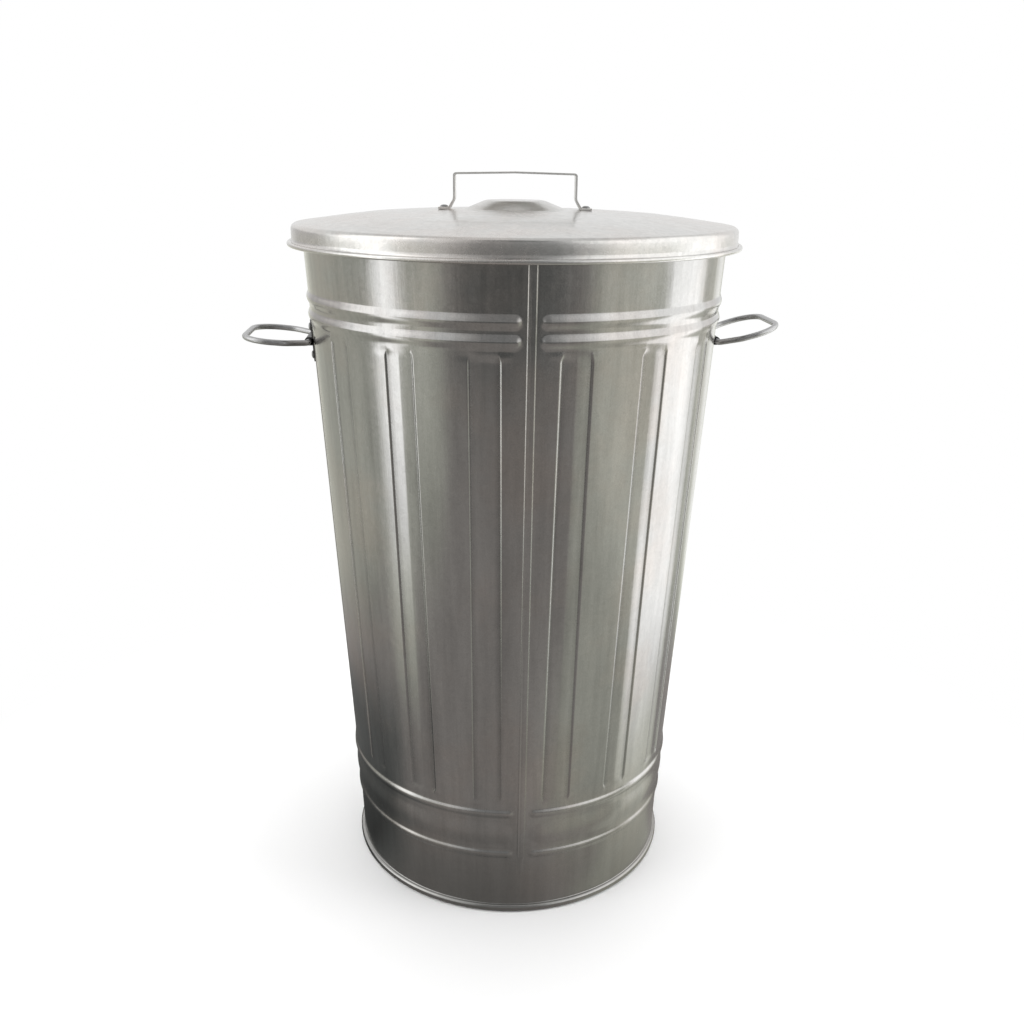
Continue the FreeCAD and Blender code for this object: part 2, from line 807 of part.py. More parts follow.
def wireLoop(side):
    # drawn lying flat with the hinge along Y; both ends of the wire meet inside the strap
    body = newBody("%s_handle" % side)
    end = size("loop_end_gap") / 2
    half = [
        (0, end, 0),
        (0, barrelLength / 2 + size("loop_neck_gap"), size("loop_neck_radius")),
        (size("loop_shoulder_reach"), size("loop_shoulder_width") / 2, size("loop_shoulder_radius")),
        (size("loop_reach"), size("loop_width") / 2, size("loop_corner_radius")),
    ]
    other = [(across, -up, radius) for across, up, radius in reversed(half)]
    path = newSketch(body, "%sLoopPath" % side.title(), "XY_Plane")
    drawOutline(path, half + other, closed=False)
    profile = newSketch(body, "%sWireSection" % side.title(), "XZ_Plane")
    profile.AttachmentOffset = Placement(Vector(0, 0, -float(end)), Rotation())
    profile.setExpression("AttachmentOffset.Base.z", (-end).formula)
    section = Part.Circle(Vector(0, 0, 0), UP, float(size("loop_wire_diameter")) / 2)
    profile.addGeometry(section, False)
    profile.addConstraint(Sketcher.Constraint("Coincident", 0, 3, -1, 1))
    number = profile.addConstraint(Sketcher.Constraint("Diameter", 0, float(size("loop_wire_diameter"))))
    profile.setExpression("Constraints[%d]" % number, size("loop_wire_diameter").formula)
    doc.recompute()
    pipe = body.newObject("PartDesign::AdditivePipe", "%sLoopWire" % side.title())
    pipe.Profile = profile
    pipe.Spine = path
    doc.recompute()
    tilt = Rotation(Vector(0, 1, 0), -float(size("%s_loop_tilt" % side)))
    turn = Rotation(Vector(0, 0, 1), SIDES[side])
    hinge = Vector(float(hingeRadius), 0, float(hingeHeight))
    body.Placement = Placement(turn.multVec(hinge), turn * tilt)
    return body


def box(name, length, width, height, x, y, z):
    block = doc.addObject("Part::Box", name)
    bind(block, "Length", length)
    bind(block, "Width", width)
    bind(block, "Height", height)
    for axis, value in (("x", x), ("y", y), ("z", z)):
        block.setExpression("Placement.Base.%s" % axis, asSize(value).formula)
    return block


def cone(name, low, high, lift):
    # the wall's own cone between two heights, grown by a lift
    shape = doc.addObject("Part::Cone", name)
    bind(shape, "Radius1", wallRadius(low) + lift)
    bind(shape, "Radius2", wallRadius(high) + lift)
    bind(shape, "Height", high - low)
    shape.setExpression("Placement.Base.z", low.formula)
    return shape


def rodAlongY(name, radius, length):
    rod = doc.addObject("Part::Cylinder", name)
    bind(rod, "Radius", radius)
    bind(rod, "Height", length)
    rod.Placement.Rotation = Rotation(Vector(1, 0, 0), -90)
    rod.setExpression("Placement.Base.x", hingeRadius.formula)
    rod.setExpression("Placement.Base.y", (-(length / 2)).formula)
    rod.setExpression("Placement.Base.z", hingeHeight.formula)
    return rod


def joinedShapes(name, shapes):
    union = doc.addObject("Part::MultiFuse", name)
    union.Shapes = shapes
    return union


def strap(side):
    # a strip pressed round the wire: two flanges that follow the wall and a bulge between them
    tag = side.title()
    t = size("strap_thickness")
    low = hingeHeight - size("strap_height") / 2
    high = hingeHeight + size("strap_height") / 2
    width = size("strap_width")
    length = barrelLength
    bulge = boreRadius + t
    sheetOutside = cone(tag + "FlangeOutside", low, high, seatGap + t)
    reach = size("strap_web_depth")
    window = box(tag + "FlangeWindow", reach * 2, width, size("strap_height"), hingeRadius - reach,
                 -(width / 2), low)
    rounded = doc.addObject("Part::Fillet", tag + "FlangeCorners")
    rounded.Base = window
    corner = float(size("strap_corner_radius"))
    rounded.Edges = [(number, corner, corner) for number in edgesAlongX(window)]
    flange = doc.addObject("Part::Common", tag + "Flange")
    flange.Base = sheetOutside
    flange.Tool = rounded
    bulgeRod = rodAlongY(tag + "Bulge", bulge, length)
    bulgeWeb = box(tag + "BulgeWeb", reach, length, bulge * 2, hingeRadius - reach, -(length / 2),
                   hingeHeight - bulge)
    boreRod = rodAlongY(tag + "Bore", boreRadius, length * 2)
    boreSlot = box(tag + "BoreSlot", reach, length * 2, boreRadius * 2, hingeRadius - reach, -length,
                   hingeHeight - boreRadius)
    wallCone = cone(tag + "StrapSeat", low - reach, high + reach, seatGap)
    solid = joinedShapes(tag + "StrapSolid", [flange, bulgeRod, bulgeWeb])
    holes = []
    for number, (angle, height) in enumerate(strapRivets(0.0)):
        hole = doc.addObject("Part::Cylinder", "%sStrapHole%d" % (tag, number))
        bind(hole, "Radius", rivetHoleRadius)
        bind(hole, "Height", reach * 2)
        hole.Placement = onWall(angle, height, -float(reach))
        holes.append(hole)
    hollow = joinedShapes(tag + "StrapHollow", [boreRod, boreSlot, wallCone] + holes)
    piece = doc.addObject("Part::Cut", "%s_bracket" % side)
    piece.Label = "%s_bracket" % side
    piece.Base = solid
    piece.Tool = hollow
    piece.Placement = Placement(Vector(0, 0, 0), Rotation(Vector(0, 0, 1), SIDES[side]))
    return piece


def edgesAlongX(block):
    doc.recompute()
    found = []
    for number, edge in enumerate(block.Shape.Edges, start=1):
        run = edge.Vertexes[-1].Point - edge.Vertexes[0].Point
        if abs(run.x) > 0.99 * run.Length:
            found.append(number)
    return found


# ---- assembly ------------------------------------------------------------------------------

def rimWire():
    wire = doc.addObject("Part::Torus", "rim_wire")
    wire.Label = "rim_wire"
    bind(wire, "Radius1", rimCentreRadius)
    bind(wire, "Radius2", size("rim_wire_diameter") / 2)
    wire.setExpression("Placement.Base.z", rimCentreHeight.formula)
    return wire


def computed(name, shape):
    feature = doc.addObject("Part::Feature", name)
    feature.Label = name
    feature.Shape = shape
    return feature


strapGrip = size("strap_thickness") + thickness + size("washer_thickness") + seatGap * 4
gripHead = gripFoot + size("grip_thickness") + seatGap
washerReach = gripRivetReach + size("washer_diameter") / 2
lidWasher = crownHeight(washerReach) - thickness - seatGap - size("washer_thickness")
lidGrip = gripHead - lidWasher + seatGap
lidPlace = Placement(Vector(0, 0, float(rimHeight)), Rotation(Vector(0, 0, 1), float(size("lid_turn"))))

wallPiece = computed("can_wall", barrelWall())
kept = [wallPiece, rimWire(), bottomPan()]
lidPieces = [lidShell(), lidHandle()]
for piece in lidPieces:
    piece.Placement = lidPlace
kept += lidPieces

strapRivet = rivetMaster("strap_rivet_master", strapGrip)
lidRivet = rivetMaster("lid_rivet_master", lidGrip)
washer = washerMaster()
doc.recompute()

for side, turn in SIDES.items():
    kept.append(wireLoop(side))
    kept.append(strap(side))
    lift = float(seatGap + size("strap_thickness") + seatGap)
    spots = strapRivets(turn)
    kept.append(grouped("%s_bracket_rivets" % side, strapRivet, [onWall(a, z, lift) for a, z in spots]))
    depth = float(thickness + size("washer_thickness") + 2 * seatGap)
    kept.append(grouped("%s_rivet_washers" % side, washer, [onWall(a, z, -depth) for a, z in spots]))

gripSpots = [Vector(side * float(gripRivetReach), 0, 0) for side in (-1, 1)]
gripFasteners = (("lid_handle_rivets", lidRivet, gripHead), ("lid_rivet_washers", washer, lidWasher))
for name, master, height in gripFasteners:
    lifted = [Placement(spot + Vector(0, 0, float(height)), Rotation()) for spot in gripSpots]
    kept.append(grouped(name, master, [lidPlace.multiply(spot) for spot in lifted]))

doc.recompute()

for thing in doc.Objects:
    if "Invalid" in thing.State or "Error" in thing.State:
        raise RuntimeError("%s is in state %s" % (thing.Name, thing.State))

os.makedirs("parts", exist_ok=True)
for piece in kept:
    if piece.Shape.isNull() or not piece.Shape.isValid():
        raise RuntimeError("%s has no valid shape" % piece.Label)
    piece.Shape.exportStep("parts/%s.step" % piece.Label)
    low, high = piece.Shape.BoundBox.ZMin, piece.Shape.BoundBox.ZMax
    print("%-22s solids %d  volume %10.1f  z %7.2f to %7.2f" % (
        piece.Label, len(piece.Shape.Solids), piece.Shape.Volume, low, high))
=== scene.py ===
import math

import bpy
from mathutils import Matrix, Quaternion, Vector, noise


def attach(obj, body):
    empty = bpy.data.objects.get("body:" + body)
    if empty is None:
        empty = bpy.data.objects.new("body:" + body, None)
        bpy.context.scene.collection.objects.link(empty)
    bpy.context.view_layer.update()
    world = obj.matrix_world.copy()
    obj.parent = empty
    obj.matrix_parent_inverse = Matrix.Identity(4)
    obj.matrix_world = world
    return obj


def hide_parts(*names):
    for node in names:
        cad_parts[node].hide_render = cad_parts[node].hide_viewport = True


# A galvanized bin with a loose lid, standing on a pale studio floor.
# The barrel's and lid's lengths are millimetres, scaled to metres when the mesh is made; finishes, studio
# and camera are in metres.

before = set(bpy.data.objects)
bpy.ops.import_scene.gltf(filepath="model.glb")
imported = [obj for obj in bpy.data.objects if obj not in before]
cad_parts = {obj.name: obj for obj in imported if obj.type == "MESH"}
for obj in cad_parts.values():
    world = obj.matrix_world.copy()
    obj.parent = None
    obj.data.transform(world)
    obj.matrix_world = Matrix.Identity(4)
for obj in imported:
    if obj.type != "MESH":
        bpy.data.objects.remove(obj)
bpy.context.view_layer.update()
scene = bpy.context.scene
mm = 0.001
seamAngle = math.radians(-90)


# shader writing

class Signal:
    # a socket that can be written into sums; each operation adds its Math node

    def __init__(self, recipe, socket):
        self.recipe = recipe
        self.socket = socket

    def sum(self, operation, *terms):
        return self.recipe.node("ShaderNodeMath", {"operation": operation}, dict(enumerate(terms)))

    def __add__(self, other):
        return self.sum("ADD", self, other)

    def __radd__(self, other):
        return self.sum("ADD", other, self)

    def __sub__(self, other):
        return self.sum("SUBTRACT", self, other)

    def __rsub__(self, other):
        return self.sum("SUBTRACT", other, self)

    def __mul__(self, other):
        return self.sum("MULTIPLY", self, other)

    def __rmul__(self, other):
        return self.sum("MULTIPLY", other, self)

    def __truediv__(self, other):
        return self.sum("DIVIDE", self, other)

    def size(self):
        return self.sum("ABSOLUTE", self)

    def most(self, other):
        return self.sum("MAXIMUM", self, other)

    def clipped(self):
        return self.recipe.node("ShaderNodeClamp", {}, {"Value": self})

    def ranged(self, low, high, newLow=0.0, newHigh=1.0):
        return self.recipe.node(
            "ShaderNodeMapRange", {"clamp": True, "interpolation_type": "SMOOTHSTEP"},
            {"Value": self, "From Min": low, "From Max": high, "To Min": newLow, "To Max": newHigh})


class Recipe:
    # the node tree of one finish, of the floor or of the world

    def __init__(self, owner):
        owner.use_nodes = True
        self.owner = owner
        self.tree = owner.node_tree
        self.tree.nodes.clear()

    def node(self, kind, settings=None, sockets=None, out=0):
        made = self.tree.nodes.new(kind)
        for name, value in (settings or {}).items():
            setattr(made, name, value)
        for name, value in (sockets or {}).items():
            if isinstance(value, Signal):
                self.tree.links.new(value.socket, made.inputs[name])
            else:
                made.inputs[name].default_value = value
        return Signal(self, made.outputs[out]) if made.outputs else None

    def other(self, signal, out):
        return Signal(self, signal.socket.node.outputs[out])

    def mixed(self, factor, first, second, way="MIX"):
        # sockets 6 and 7 of the Mix node are its two colours, output 2 is the mixed colour
        return self.node("ShaderNodeMix", {"data_type": "RGBA", "blend_type": way},
                         {0: factor, 6: first, 7: second}, out=2)

    def vector(self, operation, *terms, out=0):
        # output 1 of a Vector Math node is the number that a dot product or a length gives
        return self.node("ShaderNodeVectorMath", {"operation": operation}, dict(enumerate(terms)), out)

    def dot(self, place, direction):
        return self.vector("DOT_PRODUCT", place, direction, out=1)

    def length(self, place):
        return self.vector("LENGTH", place, out=1)

    def scaled(self, place, factors):
        return self.vector("MULTIPLY", place, factors)

    def clouds(self, place, scale, detail, rough=0.5, out=0):
        return self.node("ShaderNodeTexNoise", {}, {
            "Vector": place, "Scale": scale, "Detail": detail, "Roughness": rough}, out)

    def marked(self, name):
        # a mark written on the mesh's points; zero on meshes that have none
        return self.node("ShaderNodeAttribute", {"attribute_name": name}, {}, out=2)

    def metal(self, colour, gloss, relief, strength, depth):
        # the skin of bare metal that every finish ends in
        bump = self.node("ShaderNodeBump", {}, {"Strength": strength, "Distance": depth, "Height": relief})
        skin = self.node("ShaderNodeBsdfPrincipled", {}, {
            "Base Color": colour, "Metallic": 1.0, "Roughness": gloss.clipped(), "Normal": bump})
        self.node("ShaderNodeOutputMaterial", {}, {"Surface": skin})
        return self.owner


def tone(value, warmth=0.0):
    # a grey; warmth takes blue away and adds a little red
    return (value * (1 + warmth * 0.3), value, value * (1 - warmth), 1.0)


def finish(name):
    return Recipe(bpy.data.materials.new(name))


zincLooks = {
    "spangle": 0.0045,                  # metres across a crystal
    "grain": 0.0014,
    "warpScale": 90.0,                  # crystals with bent borders
    "warp": 0.004,
    "streaks": (75.0, 75.0, 3.2),       # marks drawn out along the sheet's height
    "brushing": (420.0, 420.0, 9.0),
    "smoke": (26.0, 26.0, 7.0),
    "cloudScale": 9.0,
    "speckScale": 260.0,
    "specks": (0.68, 0.76),
    "dull": (0.35, 0.75),
    "stains": (0.42, 0.66),
    "stainTint": (1.09, 1.03, 0.98),
    # the painted shade towards the foot: the height where it ends, its tone, and how much of the colour it
    # covers
    "footShadeTop": 0.16,
    "footShadeTone": 0.62,
    "footShadeCover": 0.5,
    "darkest": 0.25,                    # share of the shade in the darkest marks
    "palest": 1.05,
    "innerRange": (0.8, 1.8),
    "bump": 0.25,
    "depth": 0.00012,
}
zincLevel = {"base": 0.80, "crystal": 0.05, "grain": 0.34, "streak": 0.55, "smoke": 0.55, "cloud": 0.14,
             "speck": 0.06, "footShadeAndDullness": 0.10, "creaseShadeAndDullness": 0.30}
zincGloss = {"crystal": 0.03, "grain": 0.08, "dull": 0.05, "streak": 0.12, "footShadeAndDullness": 0.02, "creaseShadeAndDullness": 0.10,
             "inner": 0.24}
zincRelief = {"crystal": 0.10, "grain": 0.6, "streak": 1.6, "brushed": 0.6}


def zincSheet(name, shade, roughness, warmth=0.01, streaky=1.0, shadedDullFoot=1.0, spangle=1.0):
    # hot-dipped zinc: crystals of slightly different tone and gloss, rolling streaks and smoky patches
    recipe = finish(name)
    looks = zincLooks
    place = recipe.node("ShaderNodeTexCoord", out=3)
    warped = recipe.clouds(place, looks["warpScale"], 2.0, out=1)
    bent = recipe.vector("MULTIPLY_ADD", warped, (looks["warp"],) * 3, place)
    crystals = recipe.node("ShaderNodeTexVoronoi", {"feature": "F1"},
                           {"Vector": bent, "Scale": 1 / looks["spangle"], "Randomness": 1.0}, out=1)
    crystal = recipe.node("ShaderNodeSeparateColor", {}, {"Color": crystals})
    glint = recipe.other(crystal, 1)
    grain = recipe.clouds(place, 1 / looks["grain"], 3.0, 0.7)
    streak = recipe.clouds(recipe.scaled(place, looks["streaks"]), 1.0, 5.0, 0.65)
    brushed = recipe.clouds(recipe.scaled(place, looks["brushing"]), 1.0, 3.0, 0.6)
    smoke = recipe.clouds(recipe.scaled(place, looks["smoke"]), 1.0, 4.0, 0.6)
    cloud = recipe.clouds(place, looks["cloudScale"], 4.0, 0.6)
    speck = recipe.clouds(place, looks["speckScale"], 1.0).ranged(*looks["specks"])
    dull = cloud.ranged(*looks["dull"])
    height = recipe.node("ShaderNodeSeparateXYZ", {}, {"Vector": place}, out=2)
    # darker and duller towards the foot: the darkening is painted shade, standing in for the dark floor
    # that the lower wall mirrors
    low = height.ranged(looks["footShadeTop"], 0.0) * shadedDullFoot
    # darker and duller along the flutes' creases: the darkening is painted shade
    shadedCrease = recipe.marked("crease")
    inner = recipe.marked("inner")
    by = zincLevel
    level = (by["base"] + (crystal - 0.5) * (by["crystal"] * spangle) + (grain - 0.5) * by["grain"]
             + (streak - 0.5) * (by["streak"] * streaky) + (smoke - 0.5) * (by["smoke"] * streaky)
             + (cloud - 0.5) * by["cloud"] - speck * by["speck"] - low * by["footShadeAndDullness"] - shadedCrease * by["creaseShadeAndDullness"])
    red, green, blue = (shade * part for part in looks["stainTint"])
    stained = recipe.mixed(cloud.ranged(*looks["stains"]), tone(shade * looks["palest"], warmth),
                           (red, green, blue, 1.0))
    clean = recipe.mixed(level.clipped(), tone(shade * looks["darkest"], warmth), stained)
    # the inside is paler and duller
    darkInner, paleInner = (tone(shade * part, warmth) for part in looks["innerRange"])
    matt = recipe.mixed(level.clipped(), darkInner, paleInner)
    # the tone of the painted shade towards the foot
    footShadeAndDullness = tone(shade * looks["footShadeTone"], 0.05)
    colour = recipe.mixed(low * looks["footShadeCover"], recipe.mixed(inner, clean, matt), footShadeAndDullness)
    by = zincGloss
    gloss = (roughness + (glint - 0.5) * (by["crystal"] * spangle) + (grain - 0.5) * by["grain"]
             + dull * by["dull"] + (streak - 0.5) * (by["streak"] * streaky) + low * by["footShadeAndDullness"]
             + shadedCrease * by["creaseShadeAndDullness"] + inner * by["inner"])
    by = zincRelief
    relief = (crystal * (by["crystal"] * spangle) + grain * by["grain"] + streak * (by["streak"] * streaky)
              + brushed * (by["brushed"] * streaky))
    return recipe.metal(colour, gloss, relief, looks["bump"], looks["depth"])


rodLooks = {
    "blotScale": 70.0,
    "grainScale": 900.0,
    "scratches": (260.0, 30.0, 260.0),
    "level": 0.55,
    "grain": 0.3,
    "scratch": 0.25,
    "tones": (0.45, 1.15),
    "blotGloss": 0.25,
    "grainGloss": 0.12,
    "bump": 0.3,
    "depth": 0.0002,
}


def zincRod(name, shade, roughness, warmth=0.0, blotch=0.4):
    # wire, straps and rivets: plated steel with blotches, fine scratches and dull spots
    recipe = finish(name)
    looks = rodLooks
    place = recipe.node("ShaderNodeTexCoord", out=3)
    blot = recipe.clouds(place, looks["blotScale"], 4.0, 0.65)
    grain = recipe.clouds(place, looks["grainScale"], 2.0)
    scratch = recipe.clouds(recipe.scaled(place, looks["scratches"]), 1.0, 3.0)
    level = (looks["level"] + (blot - 0.5) * (blotch * 2) + (grain - 0.5) * looks["grain"]
             + (scratch - 0.5) * looks["scratch"])
    dark, pale = (tone(shade * part, warmth) for part in looks["tones"])
    colour = recipe.mixed(level.clipped(), dark, pale)
    gloss = roughness + (blot - 0.5) * looks["blotGloss"] + (grain - 0.5) * looks["grainGloss"]
    return recipe.metal(colour, gloss, grain + blot * 0.6, looks["bump"], looks["depth"])


finishes = {
    "can_sheet": zincSheet("canZinc", 0.46, 0.18, 0.02),
    "lid_sheet": zincSheet("lidZinc", 0.63, 0.22, 0.03, streaky=0.3, shadedDullFoot=0.0, spangle=1.8),
    "pan_sheet": zincSheet("panZinc", 0.62, 0.42, streaky=0.4, shadedDullFoot=0.0),
    # far paler than the lid's zinc: painted light, so that the strip's face still reads light where it
    # mirrors the dark strip behind the camera
    "lid_strip": zincSheet("stripZinc", 0.92, 0.42, 0.03, streaky=0.3, shadedDullFoot=0.0),
    "rim_wire": zincRod("rimWireSteel", 0.30, 0.45),
    "loop_wire": zincRod("loopWireZinc", 0.52, 0.36),
    "strap": zincRod("strapSteel", 0.13, 0.45, 0.02, blotch=0.9),
    "rivet": zincRod("rivetSteel", 0.30, 0.36),
    "washer": zincRod("washerSteel", 0.32, 0.38),
}
print("finishes made:", len(finishes))


# mesh writing

def eased(x):
    x = min(max(x, 0.0), 1.0)
    return x * x * (3 - 2 * x)


def roundedCorners(corners, closed=True, turn=12.0):
    # (across, up, radius) corners become points along the straight runs and arcs between them
    count = len(corners)
    points = []
    for i, (across, up, radius) in enumerate(corners):
        here = Vector((across, up))
        if radius <= 0 or (not closed and i in (0, count - 1)):
            points.append(here)
            continue
        back = (Vector(corners[i - 1][:2]) - here).normalized()
        ahead = (Vector(corners[(i + 1) % count][:2]) - here).normalized()
        half = back.angle(ahead) / 2
        reach = radius / math.tan(half)
        centre = here + (back + ahead).normalized() * (radius / math.sin(half))
        start = here + back * reach - centre
        stop = here + ahead * reach - centre
        sweep = math.pi - 2 * half
        left = start.x * stop.y - start.y * stop.x > 0
        steps = max(2, math.ceil(math.degrees(sweep) / turn))
        for k in range(steps + 1):
            angle = sweep * k / steps * (1 if left else -1)
            points.append(centre + Vector((
                start.x * math.cos(angle) - start.y * math.sin(angle),
                start.x * math.sin(angle) + start.y * math.cos(angle))))
    return points


def wovenFaces(rows, columns, rowsClosed, columnsClosed):
    # four-sided faces between the rows and columns of a net of points
    faces = []
    for i in range(rows if rowsClosed else rows - 1):
        following = (i + 1) % rows
        for j in range(columns if columnsClosed else columns - 1):
            beside = (j + 1) % columns
            faces.append((i * columns + j, i * columns + beside, following * columns + beside,
                          following * columns + j))
    return faces


def disc(name, rings, height):
    # a flat net round the origin, in metres
    count = 96
    points = [(r * math.cos(2 * math.pi * j / count), r * math.sin(2 * math.pi * j / count), height)
              for r in rings for j in range(count)]
    mesh = bpy.data.meshes.new(name)
    mesh.from_pydata(points, [], wovenFaces(len(rings), count, False, True))
    return mesh


def piece(name, points, faces, body, slot, replaced, marks=None):
    mesh = bpy.data.meshes.new(name)
    mesh.from_pydata([(x * mm, y * mm, z * mm) for x, y, z in points], [], faces)
    mesh.polygons.foreach_set("use_smooth", [True] * len(mesh.polygons))
    for mark, values in (marks or {}).items():
        layer = mesh.attributes.new(mark, "FLOAT", "POINT")
        layer.data.foreach_set("value", values)
    mesh.materials.append(finishes[slot])
    made = bpy.data.objects.new(name, mesh)
    scene.collection.objects.link(made)
    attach(made, body)
    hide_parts(*replaced)
    return made


# the barrel

barrel = {
    "footRadius": 169.5,
    "mouthRadius": 210.6,
    "rimHeight": 689.3,
    "sheet": 0.8,
    "curlRadius": 3.85,
    "curlTail": 2.0,
    "curlFoot": 659.3,
    "bandHeight": 71.0,
    "bandFlare": 1.9,
    "rollHeight": 7.5,
    "rollReach": 3.9,
    "rollBend": 2.8,
    "rowGap": 1.5,              # between rows over beads and flute ends
    "innerRowGap": 4.5,
    "rows": 18,                 # coarse rows over the whole height
    "innerRows": 12,
}
sheetWaves = {
    "radius": 190.0,            # turns an angle into a length round the wall
    "depth": 0.16,
    "slow": (46.0, 230.0),      # width and height of a wave
    "quick": (15.0, 150.0),
    "quickShare": 0.22,
}
flutes = {
    "count": 16,
    "width": 30.5,
    "depth": 1.1,
    "step": 2.0,
    "crease": 0.5,
    "low": 133.0,
    "high": 593.0,
    "runOut": 7.0,
    "endShare": 0.90,
    "dimple": 0.55,
    "dimpleSize": 3.0,
    "dimplePlace": 0.93,        # share of the half width
    "dimpleShift": 0.06,
    "margin": 0.8,              # last station outside the edge
    # width of the painted shade along each crease
    "creaseShadeWidth": 1.1,
}
beads = [
    # height, width and rise of each raised bead
    (620.5, 12.5, 2.1),
    (603.5, 12.5, 2.1),
    (121.0, 10.0, 1.9),
    (96.0, 27.0, 1.7),
    (71.0, 10.0, 1.9),
]
seam = {
    "width": 8.0,
    "rise": 1.3,
    "edge": 0.7,
    "fadeHigh": 71.0,
    "fadeLow": 58.0,
    "lineRise": 0.4,
    "beadGap": 4.0,
    "foldDepth": 0.40,
    "foldShare": 0.40,
    "foldWidth": 0.55,
    "crown": 0.18,
}


def wallRadius(z):
    # straight foot band, conical above it
    cone = barrel["footRadius"] + (barrel["mouthRadius"] - barrel["footRadius"]) * z / barrel["rimHeight"]
    band = barrel["bandHeight"]
    if z >= band:
        return cone
    top = barrel["footRadius"] + (barrel["mouthRadius"] - barrel["footRadius"]) * band / barrel["rimHeight"]
    foot = barrel["footRadius"] + barrel["bandFlare"]
    start = barrel["rollHeight"] * 2
    return foot + (top - foot) * max(0.0, z - start) / (band - start)


def fluteShare(z):
    # none above and below the flute, all of its depth past the run-outs
    fromEnd = min(z - flutes["low"], flutes["high"] - z)
    return eased(fromEnd / flutes["runOut"])


def endNarrowing(z):
    return flutes["endShare"] + (1 - flutes["endShare"]) * fluteShare(z)


def fluteOffset(s, z, number):
    # how far the sheet is pressed in, s millimetres across from the flute's middle line
    share = fluteShare(z)
    half = flutes["width"] / 2 * endNarrowing(z)
    step = flutes["step"]
    a = abs(s)
    inside = eased((half - a) / step)
    valley = max(0.0, half - step)
    slope = (flutes["depth"] - flutes["crease"]) * min(1.0, math.sqrt(a * a + 0.5) / max(valley, 1.0))
    pressed = inside * (flutes["crease"] + slope) * share
    # small dents of uneven depth where the press let go of the sheet
    dimples = 0.0
    for end, up in ((flutes["high"], -1), (flutes["low"], 1)):
        away = (z - end) * up
        if -9 < away < 16:
            for side in (-1, 1):
                vary = noise.cell(Vector((number * 3.1 + side, up * 7.7, 0.5)))
                centre = side * flutes["width"] / 2 * (flutes["dimplePlace"] + flutes["dimpleShift"] * vary)
                depth = flutes["dimple"] * (0.5 + abs(vary))
                far = ((s - centre) ** 2 + (away - 1.5 - 2 * vary) ** 2) / flutes["dimpleSize"] ** 2
                dimples += depth * math.exp(-far) * (1 if side * vary > 0 else -1)
    return -pressed + dimples


def beadOffset(s, z):
    # beads are pressed out and end short of the seam, s millimetres across from it
    rise = 0.0
    for height, width, most in beads:
        half = width / 2
        if abs(z - height) > half + 1:
            continue
        end = seam["width"] / 2 + seam["beadGap"] + half
        beyond = max(0.0, end - abs(s))
        d = math.hypot(z - height, beyond) / half
        # a section between a parabola and a cosine
        if d < 1:
            rise += most * (0.6 * (1 - d * d) + 0.4 * (0.5 + 0.5 * math.cos(math.pi * d)))
    return rise


def seamOffset(s, z):
    # a flat raised band with the open groove of its fold, hammered down to a line at the foot
    full = eased((z - seam["fadeLow"]) / (seam["fadeHigh"] - seam["fadeLow"]))
    half = seam["width"] / 2 * (0.3 + 0.7 * full)
    rise = seam["lineRise"] + (seam["rise"] - seam["lineRise"]) * full
    fold = seam["foldDepth"] * math.exp(-((s + half * seam["foldShare"]) / seam["foldWidth"]) ** 2) * full
    crown = seam["crown"] * ((s - half * 0.3) / half) ** 2 * full
    return (rise - fold - crown) * eased((half - abs(s)) / seam["edge"])


def ripple(angle, z):
    # the slight waviness of thin sheet
    around = angle * sheetWaves["radius"]
    slowWidth, slowHeight = sheetWaves["slow"]
    quickWidth, quickHeight = sheetWaves["quick"]
    slow = noise.noise(Vector((around / slowWidth, z / slowHeight, 3.3)))
    quick = noise.noise(Vector((around / quickWidth, z / quickHeight, 9.1)))
    return sheetWaves["depth"] * (slow + sheetWaves["quickShare"] * quick)


def barrelColumns():
    # stations across one pitch: close together on the flute's edges, crease and seam
    half = flutes["width"] / 2
    step = flutes["step"]
    right = [0.0, 1.0, 4.0, 8.0, half - step - 0.7]
    right += [half - step + step * k / 5 for k in range(6)] + [half + flutes["margin"]]
    across = [-s for s in reversed(right[1:])] + right
    stations = []
    for number in range(flutes["count"]):
        stations += [("flute", number, s) for s in across]
        if number < flutes["count"] - 1:
            stations += [("land", number, (k + 1) / 6) for k in range(5)]
    beside = [16.5, 14.2, 12.4, 10.8, 9.4, 8.0, 6.4, 4.4]
    edge = [4.0, 3.65, 3.3, 2.8, 2.2, 1.6, 1.1, 0.5]
    seamRun = beside + edge
    stations += [("seam", 0, -s) for s in seamRun]
    stations += [("seam", 0, 0.0)]
    return stations + [("seam", 0, s) for s in reversed(seamRun)]


def stationAngle(kind, number, value, radius, z):
    pitch = 2 * math.pi / flutes["count"]
    share = endNarrowing(z)
    edge = flutes["width"] / 2 + flutes["margin"]
    if kind == "flute":
        return seamAngle + (number + 0.5) * pitch + value * share / radius
    if kind == "land":
        gap = pitch - 2 * edge * share / radius
        return seamAngle + (number + 0.5) * pitch + edge * share / radius + gap * value
    return seamAngle + 2 * math.pi + value / radius


def offsetAt(kind, number, value, angle, radius, z, outside):
    # everything that is pressed into or out of the plain cone at one point
    turn = (angle - seamAngle + math.pi) % (2 * math.pi) - math.pi
    across = turn * radius
    total = ripple(turn, z)
    if kind == "flute":
        total += fluteOffset(value * endNarrowing(z), z, number)
    total += beadOffset(across, z)
    if outside and abs(across) < seam["width"]:
        total += seamOffset(across, z)
    return total


def heights(low, high, fine, coarse):
    # rows close together over the beads and the ends of the flutes, coarse ones elsewhere
    stops = {low, high}
    for height, width, _ in beads:
        count = int(width / fine) + 4
        stops |= {round(height + (k / count - 0.5) * (width + 3), 3) for k in range(count + 1)}
    gap = fine * 1.3
    for end, up in ((flutes["low"], 1), (flutes["high"], -1)):
        stops |= {round(end + up * k * gap, 3) for k in range(-4, int(12 / gap) + 1)}
    stops |= {low + (high - low) * k / coarse for k in range(coarse + 1)}
    kept = []
    for z in sorted(s for s in stops if low <= s <= high):
        if not kept or z - kept[-1] > fine * 0.55:
            kept.append(z)
    kept[-1] = high
    return kept


